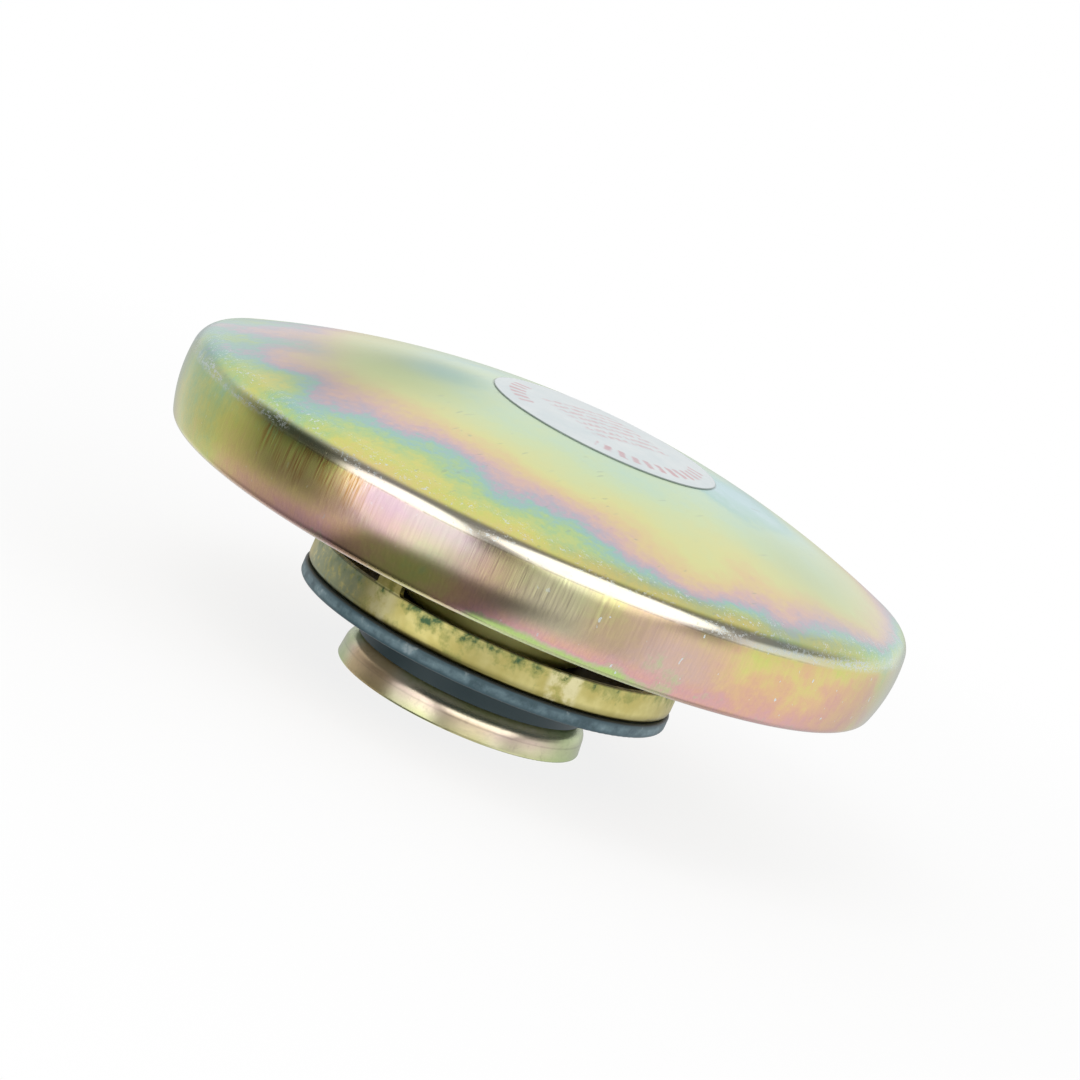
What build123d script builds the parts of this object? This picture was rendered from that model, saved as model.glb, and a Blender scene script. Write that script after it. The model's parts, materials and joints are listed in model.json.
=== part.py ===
from build123d import *
import os
from math import atan2, cos, degrees, hypot, pi, radians, sin, sqrt, tan

# Vented filler cap of a fuel transfer tank, in millimetres. Z is the cap's axis, and z = 0 is the lower
# edge of the retainer pan, on which the cap stands.

# Heights of the stack, from the bottom up
pan_height = 4.4  # retainer pan
hub_height = 4.2  # rubber hub between the pan and the sealing face
lip_height = 2.1  # proud disc of the seal
cup_height = 4.5  # seal cup above the rubber, without its ears
rim_gap = 6.7  # from the cup's edge to the shell's rolled edge
shell_height = 22.2  # from the rolled edge to the top of the dome

# Outer shell
shell_radius = 53.0
shell_sheet = 1.0
dome_radius = 144.6
shoulder_radius = 3.56
skirt_bulge_radius = 21.0
skirt_widest = 7.6  # height of the widest place above the rolled edge
roll_radius = 1.6  # outside radius of the rolled edge
roll_end = 0.5  # straight end of the roll

# Label
label_radius = 16.5
label_thickness = 0.15
label_centre = (3.1, -3.3)

# Locking plate inside the shell
plate_sheet = 1.0
plate_corner = 4.0
plate_gap = 0.05  # left free between its corner and the dome
plate_bead_at = 30.0  # radius at which the stiffening bead runs
plate_bead_bend = 2.0
plate_bead_slope = 45.0
lug_count = 3
lug_angle = 18.0
lug_first = 30.0
lug_reach = 44.5  # radius of the lugs' inner edge
lug_bend = 1.3  # bend radius at the middle of the sheet
lug_rise = 0.1  # from the start of the roll's straight end to the lug's bend
centre_hole = 4.0  # through the plate and the housing
vent_count = 3
vent_radius = 2.0
vent_at = 20.5

# Spring housing riveted under the locking plate
housing_sheet = 1.0
housing_radius = 16.9
housing_bend = 1.5
housing_flange = 25.5
housing_flange_above_rim = 0.7
rivet_count = 3
rivet_at = 7.5
rivet_first = 90.0
rivet_radius = 1.25
rivet_head = 2.0
rivet_head_height = 0.9

# Main spring and the cup that it stands in
spring_wire = 2.0
spring_radius = 11.3  # at the middle of the wire
spring_turns = 6.0
spring_cup_radius = 13.6
spring_cup_sheet = 0.8
spring_cup_hole = 9.3
spring_cup_height = 6.5
spring_cup_bend = 0.5

# Plunger
cup_radius = 27.16
cup_corner = 0.9
cup_sheet = 1.0
ear_count = 3
ear_width = 3.95
ear_first = -122.2  # degrees from +X
ear_bend = 0.5
ear_reach = 23.6  # radius of the ears' inner edge
ear_foot = 0.6  # rounding where an ear leaves the cup's edge
lip_radius = 27.35
lip_rounding = 0.55  # of its lower edge
lip_top_rounding = 0.35
hub_radius = 16.75
hub_root = 0.6  # fillet between the hub and the disc
pan_sheet = 1.0
pan_radius = 18.17
pan_shoulder = 2.4
pan_flare = 6.5  # degrees
pan_edge = 0.35  # rounding of its lower edge
tube_radius = 5.0
tube_bore = 3.5
tube_flange = 8.0
tube_flange_thickness = 0.6
tube_head = 6.8
tube_head_height = 0.9
tube_chamfer = 0.3
washer_radius = 8.9
washer_thickness = 1.0
running_gap = 0.05

# Vent valve
screen_thickness = 0.4
screen_below_end = 0.6
screen_hole = 0.35
valve_bore = 2.6  # throat below the guide
valve_ledge = 5.2  # height at which the guide sits
guide_thickness = 0.8
guide_windows = 3
stem_radius = 0.9
stem_head = 2.0
stem_head_height = 0.4
stem_above_clip = 0.7
seat_height = 0.2
seat_radius = 3.6
seat_width = 0.7
facing_radius = 5.5
facing_thickness = 0.6
valve_plate_radius = 6.2
valve_plate_sheet = 0.6
valve_rim_height = 1.0
valve_spring_wire = 0.3
valve_spring_radius = 2.2
valve_spring_length = 4.0
valve_spring_turns = 5.0
valve_clip_radius = 2.7
valve_clip_thickness = 0.4
valve_clip_groove = 0.6

# Levels worked out from the heights
seal_face = pan_height + hub_height
lip_top = seal_face + lip_height
cup_floor = lip_top + cup_sheet
cup_top = lip_top + cup_height
rim = cup_top + rim_gap
apex = rim + shell_height


def turned(outline):
    """A closed outline of (radius, height) corners, turned round the axis."""
    return revolve(Plane.XZ * make_face(Polyline(*outline, close=True)), Axis.Z)


def pressed(lines, sheet, angle=360.0):
    """Sheet metal whose middle follows the lines of (radius, height), turned round the axis."""
    return revolve(Plane.XZ * trace(lines, line_width=sheet), Axis.Z, revolution_arc=angle)


def ring(inner, outer, low, high):
    """A plain washer or bush."""
    return turned([(inner, low), (outer, low), (outer, high), (inner, high)])


def sector(inner, outer, low, high, angle):
    """Part of a ring, centred on the X axis."""
    corners = [(inner, low), (outer, low), (outer, high), (inner, high)]
    face = Plane.XZ * make_face(Polyline(*corners, close=True))
    return Rot(0, 0, -angle / 2) * revolve(face, Axis.Z, revolution_arc=angle)


def around(shape, count, first=0.0):
    """The shape repeated round the axis."""
    return [Rot(0, 0, first + 360.0 * i / count) * shape for i in range(count)]


def outer_meeting(centre_a, radius_a, centre_b, radius_b):
    """Where two circles cross, on the side away from the axis."""
    dx, dy = centre_b[0] - centre_a[0], centre_b[1] - centre_a[1]
    apart = hypot(dx, dy)
    along = (radius_a**2 - radius_b**2 + apart**2) / (2 * apart)
    aside = sqrt(radius_a**2 - along**2)
    found = []
    for side in (1, -1):
        x = centre_a[0] + (along * dx + side * aside * dy) / apart
        y = centre_a[1] + (along * dy - side * aside * dx) / apart
        found.append((x, y))
    return max(found)


def direction(start, end):
    """Angle in degrees of the line from start to end."""
    return degrees(atan2(end[1] - start[1], end[0] - start[0]))


def coil(wire, radius, low, high, turns):
    """A compression spring with ends ground flat at low and high."""
    pitch = (high - low) / turns
    path = Helix(pitch=pitch, height=high - low, radius=radius)
    section = Plane(origin=path @ 0, z_dir=path % 0) * Circle(wire / 2)
    body = Pos(0, 0, low) * sweep(section, path=path)
    reach = radius + wire
    return body & Pos(0, 0, (low + high) / 2) * Box(2 * reach, 2 * reach, high - low)


def retaining_ring(groove, outer, thickness, low):
    """An E-shaped clip: an open ring with three prongs that grip the groove."""
    band = ring(groove + 0.35 * (outer - groove), outer, low, low + thickness)
    mouth = sector(0.0, 2 * outer, low - 1, low + thickness + 1, 64.0)
    prong = sector(groove, outer - 0.2 * (outer - groove), low, low + thickness, 34.0)
    return band - mouth + around(prong, 3, 60.0)


# Circles of the shell's outline, as (radius, height) of their centres
dome_centre = (0.0, apex - dome_radius)
bulge_centre = (shell_radius - skirt_bulge_radius, rim + skirt_widest)
shoulder_centre = outer_meeting(
    dome_centre, dome_radius - shoulder_radius, bulge_centre, skirt_bulge_radius - shoulder_radius
)
roll_height = rim + roll_radius
roll_reach = sqrt((skirt_bulge_radius - roll_radius) ** 2 - (bulge_centre[1] - roll_height) ** 2)
roll_centre = (bulge_centre[0] + roll_reach, roll_height)


def make_outer_shell():
    """Dome, shoulder, bulged skirt and rolled edge, drawn as one sheet."""
    half = shell_sheet / 2
    to_shoulder = direction(dome_centre, shoulder_centre)
    to_bulge = direction(bulge_centre, shoulder_centre)
    to_roll = direction(bulge_centre, roll_centre)
    dome = CenterArc(dome_centre, dome_radius - half, 90, to_shoulder - 90)
    shoulder = CenterArc(shoulder_centre, shoulder_radius - half, to_shoulder, to_bulge - to_shoulder)
    skirt = CenterArc(bulge_centre, skirt_bulge_radius - half, to_bulge, to_roll - to_bulge)
    roll = CenterArc(roll_centre, roll_radius - half, to_roll, -180 - to_roll)
    end = Line(roll @ 1, (roll @ 1) + Vector(0, roll_end))
    return pressed([dome, shoulder, skirt, roll, end], shell_sheet)


def make_label_disc():
    """Thin round label that follows the dome."""
    centre = Pos(0, 0, dome_centre[1])
    skin = centre * (Sphere(dome_radius + label_thickness) - Sphere(dome_radius))
    return skin & Pos(*label_centre, apex) * Cylinder(label_radius, 20)


# The locking plate stands with its edge in the roll, and its corner is under the dome
wall_middle = roll_centre[0]
wall_bottom = roll_height - sqrt((roll_radius - shell_sheet) ** 2 - (plate_sheet / 2) ** 2)
plate_radius = wall_middle + plate_sheet / 2
corner_room = dome_radius - shell_sheet - plate_corner
web_top = dome_centre[1] + plate_corner - plate_gap
web_top += sqrt(corner_room**2 - (plate_radius - plate_corner) ** 2)
web_bottom = web_top - plate_sheet
lug_start = roll_height + lug_rise
flange_low = rim + housing_flange_above_rim


def make_locking_plate():
    """Web with a stiffening bead and vent holes, wall, and lugs lanced out of the wall."""
    middle = web_top - plate_sheet / 2
    bead_width = 4 * plate_bead_bend * sin(radians(plate_bead_slope))
    inner = Line((centre_hole, middle), (plate_bead_at - bead_width / 2, middle))
    rise = JernArc(inner @ 1, inner % 1, plate_bead_bend, plate_bead_slope)
    crest = JernArc(rise @ 1, rise % 1, plate_bead_bend, -2 * plate_bead_slope)
    fall = JernArc(crest @ 1, crest % 1, plate_bead_bend, plate_bead_slope)
    outer = Line(fall @ 1, (plate_radius - plate_corner, middle))
    corner = JernArc(outer @ 1, outer % 1, plate_corner - plate_sheet / 2, -90)
    wall = Line(corner @ 1, (wall_middle, wall_bottom))
    plate = pressed([inner, rise, crest, fall, outer, corner, wall], plate_sheet)

    tab_length = wall_middle - lug_bend - lug_reach
    window_height = tab_length + lug_bend * pi / 2
    window = sector(lug_reach, shell_radius, lug_start, lug_start + window_height, lug_angle)
    bend = JernArc((wall_middle, lug_start), (0, 1), lug_bend, 90)
    tab = Line(bend @ 1, (lug_reach, lug_start + lug_bend))
    lug = Rot(0, 0, -lug_angle / 2) * pressed([bend, tab], plate_sheet, lug_angle)
    vent = Pos(vent_at, 0, middle) * Cylinder(vent_radius, 4 * plate_sheet)

    rivet_hole = Pos(rivet_at, 0, middle) * Cylinder(rivet_radius, 4 * plate_sheet)
    plate -= around(window, lug_count, lug_first)
    plate += around(lug, lug_count, lug_first)
    plate -= around(rivet_hole, rivet_count, rivet_first)
    return plate - around(vent, vent_count, 90.0)


def make_spring_housing():
    """Hat-shaped pressing: its top is riveted under the web, and its flange holds the ears."""
    half = housing_sheet / 2
    top = Line((centre_hole, web_bottom - half), (housing_radius - housing_bend, web_bottom - half))
    shoulder = JernArc(top @ 1, top % 1, housing_bend - half, -90)
    wall = Line(shoulder @ 1, (housing_radius - half, flange_low + half + housing_bend))
    foot = JernArc(wall @ 1, wall % 1, housing_bend, 90)
    flange = Line(foot @ 1, (housing_flange, flange_low + half))
    housing = pressed([top, shoulder, wall, foot, flange], housing_sheet)
    hole = Pos(rivet_at, 0, web_bottom) * Cylinder(rivet_radius, 4 * housing_sheet)
    return housing - around(hole, rivet_count, rivet_first)


def make_rivet():
    """Rivet through the plate and the housing, with a low rounded head at both ends."""
    length = plate_sheet + housing_sheet
    ball = (rivet_head**2 + rivet_head_height**2) / (2 * rivet_head_height)
    head = Pos(0, 0, length / 2 + rivet_head_height - ball) * Sphere(ball)
    head &= Pos(0, 0, (length + rivet_head_height) / 2) * Cylinder(rivet_head, rivet_head_height)
    rivet = Cylinder(rivet_radius, length) + head + mirror(head, Plane.XY)
    return Pos(rivet_at, 0, web_top - length / 2) * rivet


def make_spring_cup():
    """Shallow cup under the spring, on which the plunger swivels."""
    half = spring_cup_sheet / 2
    bend = spring_cup_bend + half
    floor = Line((spring_cup_hole, cup_floor + half), (spring_cup_radius - half - bend, cup_floor + half))
    corner = JernArc(floor @ 1, floor % 1, bend, 90)
    wall = Line(corner @ 1, (spring_cup_radius - half, cup_floor + spring_cup_height))
    return pressed([floor, corner, wall], spring_cup_sheet)


def make_seal_cup():
    """Cup above the rubber, with ears that rise from its edge and hook over the housing's flange."""
    half = cup_sheet / 2
    hook_bottom = flange_low + housing_sheet
    ear_angle = degrees(ear_width / cup_radius)
    floor = Line((tube_radius, lip_top + half), (cup_radius - cup_corner, lip_top + half))
    corner = JernArc(floor @ 1, floor % 1, cup_corner - half, 90)
    wall = Line(corner @ 1, (cup_radius - half, hook_bottom - ear_bend))
    cup = pressed([floor, corner, wall], cup_sheet)

    inner, outer = cup_radius - 2 * cup_sheet, cup_radius + cup_sheet
    gap = sector(inner, outer, cup_top, apex, 360 / ear_count - ear_angle)
    lower_edges = gap.edges().filter_by(GeomType.LINE).group_by(Axis.Z)[0]
    cup -= around(fillet(lower_edges, ear_foot), ear_count, ear_first + 180 / ear_count)

    bend = JernArc(wall @ 1, (0, 1), ear_bend + half, 90)
    hook = Line(bend @ 1, (ear_reach, hook_bottom + half))
    tip = Rot(0, 0, -ear_angle / 2) * pressed([bend, hook], cup_sheet, ear_angle)
    return cup + around(tip, ear_count, ear_first)


def make_seal():
    """One moulding: a disc under the cup with rounded edges, and a hub below it."""
    outline = Polyline(
        (tube_radius, pan_height),
        (hub_radius, pan_height),
        (hub_radius, seal_face),
        (lip_radius, seal_face),
        (lip_radius, lip_top),
        (tube_radius, lip_top),
        close=True,
    )
    face = make_face(outline)
    for radius, height, rounding in (
        (lip_radius, seal_face, lip_rounding),
        (lip_radius, lip_top, lip_top_rounding),
        (hub_radius, seal_face, hub_root),
    ):
        corner = face.vertices().sort_by_distance((radius, height))[0]
        face = fillet(corner, rounding)
    return revolve(Plane.XZ * face, Axis.Z)


def make_retainer_pan():
    """Inverted cup with a rounded shoulder and a flared wall, cut flat at the floor."""
    flare = radians(pan_flare)
    middle = pan_height - pan_sheet / 2
    shoulder_height = pan_height - pan_shoulder
    shoulder_at = pan_radius - pan_shoulder / cos(flare) - shoulder_height * tan(flare)
    top = Line((tube_radius, middle), (shoulder_at, middle))
    shoulder = JernArc(top @ 1, top % 1, pan_shoulder - pan_sheet / 2, pan_flare - 90)
    down = Vector(sin(flare), -cos(flare)) * (shoulder_height + pan_sheet)
    wall = Line(shoulder @ 1, (shoulder @ 1) + down)
    pan = pressed([top, shoulder, wall], pan_sheet)
    pan &= Pos(0, 0, pan_height) * Cylinder(pan_radius + 1, 2 * pan_height)
    lower_edge = pan.edges().filter_by_position(Axis.Z, -0.01, 0.01).sort_by(SortBy.LENGTH)[-1]
    return fillet(lower_edge, pan_edge)


# Levels of the plunger's tube and of what sits on it
flange_top = pan_height - pan_sheet
flange_bottom = flange_top - tube_flange_thickness
washer_top = cup_floor + washer_thickness
tube_top = washer_top + tube_head_height
seat_bottom = flange_bottom - seat_height


def make_plunger_tube():
    """Hollow rivet: a flange with the valve's seat below, a throat, a bore, and a closed head above."""
    body = turned(
        [
            (valve_bore, flange_bottom),
            (tube_flange, flange_bottom),
            (tube_flange, flange_top),
            (tube_radius, flange_top),
            (tube_radius, washer_top),
            (tube_head, washer_top),
            (tube_head, tube_top - tube_head_height / 2),
            (tube_head - tube_head_height / 2, tube_top),
            (tube_bore + tube_chamfer, tube_top),
            (tube_bore, tube_top - tube_chamfer),
            (tube_bore, valve_ledge),
            (valve_bore, valve_ledge),
        ]
    )
    seat = turned(
        [
            (seat_radius - seat_width / 2, flange_bottom),
            (seat_radius - seat_width / 4, seat_bottom),
            (seat_radius + seat_width / 4, seat_bottom),
            (seat_radius + seat_width / 2, flange_bottom),
        ]
    )
    return body + seat


def make_vent_screen():
    """Perforated disc in the tube's upper end."""
    top = tube_top - screen_below_end
    disc = Pos(0, 0, top - screen_thickness / 2) * Cylinder(tube_bore, screen_thickness)
    hole = Cylinder(screen_hole, 4 * screen_thickness)
    holes = [Pos(0, 0, top) * hole]
    for count, radius in ((6, 1.25), (12, 2.5)):
        holes += around(Pos(radius, 0, top) * hole, count)
    return disc - holes


def make_valve_guide():
    """Spider with a bore for the stem and windows for the air."""
    top = valve_ledge + guide_thickness
    disc = ring(stem_radius + running_gap, tube_bore, valve_ledge, top)
    window = sector(1.5, 2.5, valve_ledge - 1, top + 1, 80.0)
    return disc - around(window, guide_windows)


# Levels of the vent valve, from its seat down and up
facing_bottom = seat_bottom - facing_thickness
valve_plate_bottom = facing_bottom - valve_plate_sheet
guide_top = valve_ledge + guide_thickness
valve_clip_bottom = guide_top + valve_spring_length


def make_valve_stem():
    """Rivet with a low head below the plate and a clip's groove above."""
    clip_top = valve_clip_bottom + valve_clip_thickness
    stem_top = clip_top + stem_above_clip
    return turned(
        [
            (0, valve_plate_bottom - stem_head_height),
            (stem_head - 0.5, valve_plate_bottom - stem_head_height),
            (stem_head, valve_plate_bottom),
            (stem_radius, valve_plate_bottom),
            (stem_radius, valve_clip_bottom),
            (valve_clip_groove, valve_clip_bottom),
            (valve_clip_groove, clip_top),
            (stem_radius, clip_top),
            (stem_radius, stem_top - 0.3),
            (stem_radius - 0.3, stem_top),
            (0, stem_top),
        ]
    )


def make_valve_plate():
    """Shallow cup that carries the rubber facing."""
    rim_inside = valve_plate_radius - valve_plate_sheet
    rim_top = valve_plate_bottom + valve_rim_height
    return turned(
        [
            (stem_radius, valve_plate_bottom),
            (valve_plate_radius - 0.3, valve_plate_bottom),
            (valve_plate_radius, valve_plate_bottom + 0.3),
            (valve_plate_radius, rim_top),
            (rim_inside, rim_top),
            (rim_inside, facing_bottom),
            (stem_radius, facing_bottom),
        ]
    )


pieces = {
    "outer_shell": make_outer_shell(),
    "label_disc": make_label_disc(),
    "locking_plate": make_locking_plate(),
    "spring_housing": make_spring_housing(),
    "main_spring": coil(
        spring_wire, spring_radius, cup_floor + spring_cup_sheet, web_bottom - housing_sheet, spring_turns
    ),
    "spring_cup": make_spring_cup(),
    "seal_cup": make_seal_cup(),
    "seal": make_seal(),
    "retainer_pan": make_retainer_pan(),
    "plunger_tube": make_plunger_tube(),
    "clamp_washer": ring(tube_radius, washer_radius, cup_floor, washer_top),
    "vent_screen": make_vent_screen(),
    "valve_guide": make_valve_guide(),
    "valve_stem": make_valve_stem(),
    "valve_plate": make_valve_plate(),
    "valve_facing": ring(stem_radius, facing_radius, facing_bottom, seat_bottom),
    "valve_spring": coil(
        valve_spring_wire, valve_spring_radius, guide_top, valve_clip_bottom, valve_spring_turns
    ),
    "valve_clip": retaining_ring(
        valve_clip_groove, valve_clip_radius, valve_clip_thickness, valve_clip_bottom
    ),
}
for number, rivet in enumerate(around(make_rivet(), rivet_count, rivet_first), 1):
    pieces[f"housing_rivet_{number}"] = rivet

os.makedirs("parts", exist_ok=True)
for name, shape in pieces.items():
    export_step(shape, f"parts/{name}.step")
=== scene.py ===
import json
import math
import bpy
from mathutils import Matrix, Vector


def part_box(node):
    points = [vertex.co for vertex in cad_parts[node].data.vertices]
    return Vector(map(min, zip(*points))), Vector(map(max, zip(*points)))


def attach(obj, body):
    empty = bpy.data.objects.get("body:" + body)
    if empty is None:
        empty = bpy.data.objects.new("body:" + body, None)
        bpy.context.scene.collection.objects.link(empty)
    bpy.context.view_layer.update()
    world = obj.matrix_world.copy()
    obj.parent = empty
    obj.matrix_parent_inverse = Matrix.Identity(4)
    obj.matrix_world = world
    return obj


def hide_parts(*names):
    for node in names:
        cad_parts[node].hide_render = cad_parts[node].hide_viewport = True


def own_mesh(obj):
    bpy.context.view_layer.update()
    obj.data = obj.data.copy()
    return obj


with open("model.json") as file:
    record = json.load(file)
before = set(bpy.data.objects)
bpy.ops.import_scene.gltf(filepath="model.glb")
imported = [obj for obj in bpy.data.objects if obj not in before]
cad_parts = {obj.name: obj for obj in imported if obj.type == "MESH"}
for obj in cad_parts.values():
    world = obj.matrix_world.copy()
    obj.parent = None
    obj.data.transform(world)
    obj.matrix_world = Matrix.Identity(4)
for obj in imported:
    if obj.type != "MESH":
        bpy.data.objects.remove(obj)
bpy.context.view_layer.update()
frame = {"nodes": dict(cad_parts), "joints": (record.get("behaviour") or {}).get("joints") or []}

from types import SimpleNamespace

import bpy
import numpy as np
from mathutils import Matrix

mm = 0.001
joints = {joint["name"]: joint for joint in frame["joints"]}


def heights(node):
    # lowest and highest z of a CAD node, in millimetres
    low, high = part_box(node)
    return low.z / mm, high.z / mm


# Meshes

def addPiece(name, points, faces, sharpAngle=35):
    # points in millimetres, faces as rows of point numbers
    mesh = bpy.data.meshes.new(name)
    mesh.from_pydata((points * mm).tolist(), [], faces)
    mesh.update()
    mesh.polygons.foreach_set("use_smooth", np.ones(len(mesh.polygons), bool))
    mesh.set_sharp_from_angle(angle=math.radians(sharpAngle))
    piece = bpy.data.objects.new(name, mesh)
    bpy.context.scene.collection.objects.link(piece)
    return piece


def gridFaces(rows, columns):
    # quads between the points of a grid that closes round its columns; they face the way that the
    # cross product of the rows' direction and the columns' direction points
    i = np.arange(rows - 1)[:, None]
    j = np.arange(columns)[None, :]
    near, far, right = i * columns, (i + 1) * columns, (j + 1) % columns
    quads = np.stack([near + j, far + j, far + right, near + right], -1)
    return quads.reshape(-1, 4).tolist()


def closedFaces(rows, columns):
    # the same with a fan at each end, round two middle points that come after the grid's points
    j = np.arange(columns)
    right = (j + 1) % columns
    last, middle = (rows - 1) * columns, np.full(columns, rows * columns)
    start = np.stack([middle, j, right], -1)
    end = np.stack([middle + 1, last + right, last + j], -1)
    return gridFaces(rows, columns) + start.tolist() + end.tolist()


def lathe(name, profile, segments):
    # turned surface: x = r cos t, y = r sin t, z = h, for every (r, h) of a profile that starts and
    # ends on the axis, and for t round the circle
    t = np.linspace(0, 2 * np.pi, segments, endpoint=False)
    r, h = profile[1:-1, :1], profile[1:-1, 1:]
    rings = np.stack([r * np.cos(t), r * np.sin(t), h + 0 * t], -1).reshape(-1, 3)
    middles = [[0, 0, profile[0, 1]], [0, 0, profile[-1, 1]]]
    return addPiece(name, np.concatenate([rings, middles]), closedFaces(len(profile) - 2, segments))


def arc(centre, radius, start, end, count):
    # points at even angles on a circle, angles in degrees
    t = np.radians(np.linspace(start, end, count))
    return np.stack([centre[0] + radius * np.cos(t), centre[1] + radius * np.sin(t)], -1)


def line(start, end, count=2):
    # points at even steps from start to end
    return np.linspace(start, end, count)


def join(*stretches):
    # stretches of a profile one after another, without the points that repeat
    points = np.concatenate(stretches)
    keep = np.r_[True, np.linalg.norm(np.diff(points, axis=0), axis=1) > 1e-6]
    return points[keep]


def slope(start, end):
    # angle of the line from start to end, in degrees
    return math.degrees(math.atan2(end[1] - start[1], end[0] - start[0]))


# Materials

class Wire:
    # one socket's value; + - * / between wires and numbers add Math nodes
    def __init__(self, finish, socket):
        self.finish = finish
        self.socket = socket

    def __add__(self, other):
        return self.finish.calc("ADD", self, other)

    def __radd__(self, other):
        return self.finish.calc("ADD", other, self)

    def __sub__(self, other):
        return self.finish.calc("SUBTRACT", self, other)

    def __rsub__(self, other):
        return self.finish.calc("SUBTRACT", other, self)

    def __mul__(self, other):
        return self.finish.calc("MULTIPLY", self, other)

    def __rmul__(self, other):
        return self.finish.calc("MULTIPLY", other, self)

    def __truediv__(self, other):
        return self.finish.calc("DIVIDE", self, other)


class Finish:
    # the node tree of one material or of the world
    def __init__(self, tree):
        self.tree = tree
        tree.nodes.clear()

    def node(self, kind, settings=None, inputs=None, output=0):
        # one node, with its settings, and with values or wires on its sockets
        made = self.tree.nodes.new(kind)
        for key, value in (settings or {}).items():
            if key == "stops":
                ramp = made.color_ramp.elements
                for _ in value[2:]:
                    ramp.new(0.5)
                for stop, (position, colour) in zip(ramp, value):
                    stop.position = position
                for stop, (position, colour) in zip(ramp, value):
                    stop.color = colour
            else:
                setattr(made, key, value)
        for key, value in (inputs or {}).items():
            if isinstance(value, Wire):
                self.tree.links.new(value.socket, made.inputs[key])
            else:
                made.inputs[key].default_value = value
        return Wire(self, made.outputs[output]) if made.outputs else None

    def calc(self, operation, *values):
        return self.node("ShaderNodeMath", {"operation": operation}, dict(enumerate(values)))

    def larger(self, first, second):
        return self.calc("MAXIMUM", first, second)

    def fade(self, share, first, second):
        # value that goes from first to second as share goes from 0 to 1
        return share * (second - first) + first

    def step(self, value, start, end):
        # smooth step from 0 at start to 1 at end
        if start > end:
            return 1 - self.step(value, end, start)
        settings = {"interpolation_type": "SMOOTHSTEP"}
        return self.node("ShaderNodeMapRange", settings, {0: value, 1: start, 2: end})

    def within(self, value, span):
        # 1 in a span, given as (low, high, softness), or as (0 here, 1 here) if it is open at one end
        if len(span) == 2:
            return self.step(value, *span)
        low, high, soft = span
        return self.step(value, low - soft, low + soft) * self.step(value, high + soft, high - soft)

    def stretch(self, vector, factors):
        return self.node("ShaderNodeVectorMath", {"operation": "MULTIPLY"}, {0: vector, 1: factors})

    def spin(self, vector, angle):
        # a vector turned about z
        inputs = {"Vector": vector, "Angle": angle}
        return self.node("ShaderNodeVectorRotate", {"rotation_type": "Z_AXIS"}, inputs)

    def split(self, vector):
        made = self.node("ShaderNodeSeparateXYZ", inputs={0: vector}).socket.node
        return [Wire(self, made.outputs[i]) for i in range(3)]

    def turn(self, x, y):
        # angle round the axis in degrees: 0 towards the camera, growing to its right
        return self.calc("ARCTAN2", x, 0 - y) * (180 / math.pi)

    def distance(self, vector, point):
        settings = {"operation": "DISTANCE"}
        return self.node("ShaderNodeVectorMath", settings, {0: vector, 1: point}, "Value")

    def fromAxis(self, here):
        return self.distance(self.stretch(here, (1, 1, 0)), (0, 0, 0))

    def bump(self, vector, point, radius):
        # 1 at the point, fading to 0 at the radius
        return self.step(self.distance(vector, point), radius, 0.0)

    def noise(self, vector, size, detail, roughness):
        # cloudy values from 0 to 1, with patches of about that size in millimetres
        inputs = {"Vector": vector, "Scale": 1 / size, "Detail": detail, "Roughness": roughness}
        return self.node("ShaderNodeTexNoise", inputs=inputs)

    def mix(self, share, first, second):
        # colour that goes from first to second as share goes from 0 to 1
        inputs = {0: share, 6: first, 7: second}
        return self.node("ShaderNodeMix", {"data_type": "RGBA", "clamp_factor": True}, inputs, 2)

    def over(self, colour, share, second):
        # a colour with a share of a second one over it, which is given as it looks on a screen
        return self.mix(share, colour, paint(*second))

    def patch(self, colour, share, look):
        # the same for settings that name the largest share and the colour
        return self.over(colour, share * look["share"], look["colour"])

    def tint(self, colour, factor):
        # colour times a value
        return self.node("ShaderNodeVectorMath", {"operation": "SCALE"}, {0: colour, "Scale": factor})

    def ramp(self, value, stops):
        # colour for the value, from stops of (value, red, green, blue)
        span = stops[-1][0]
        placed = [(at / span, paint(*colour)) for at, *colour in stops]
        return self.node("ShaderNodeValToRGB", {"stops": placed}, {0: value / span})

    def relief(self, height, depth):
        # normal of a bumpy surface, where height goes from 0 to 1 and depth is in millimetres
        inputs = {"Strength": 1.0, "Distance": depth * mm, "Height": height}
        return self.node("ShaderNodeBump", inputs=inputs)

    def close(self, shader, kind="ShaderNodeOutputMaterial"):
        self.node(kind, inputs={"Surface": shader})


def paint(red, green, blue):
    # a colour as it looks on a screen, 0 to 255, as linear values
    channels = np.array([red, green, blue]) / 255
    linear = np.where(channels < 0.04045, channels / 12.92, ((channels + 0.055) / 1.055) ** 2.4)
    return (*linear.tolist(), 1.0)


def newFinish(name):
    # a material, its finish, and where the point is on the object, in millimetres
    material = bpy.data.materials.new(name)
    material.use_nodes = True
    f = Finish(material.node_tree)
    here = f.node("ShaderNodeTexCoord", output="Object")
    return material, f, f.stretch(here, (1 / mm, 1 / mm, 1 / mm))


def surface(finish, colour, roughness, metallic, normal, **constants):
    inputs = {"Base Color": colour, "Roughness": roughness, "Metallic": metallic, "Normal": normal}
    finish.close(finish.node("ShaderNodeBsdfPrincipled", inputs=inputs | constants))


# In the settings below, a noise pattern is (size of its patches in millimetres, detail, roughness),
# and a span of turn, height or noise is as Finish.within takes it

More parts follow.
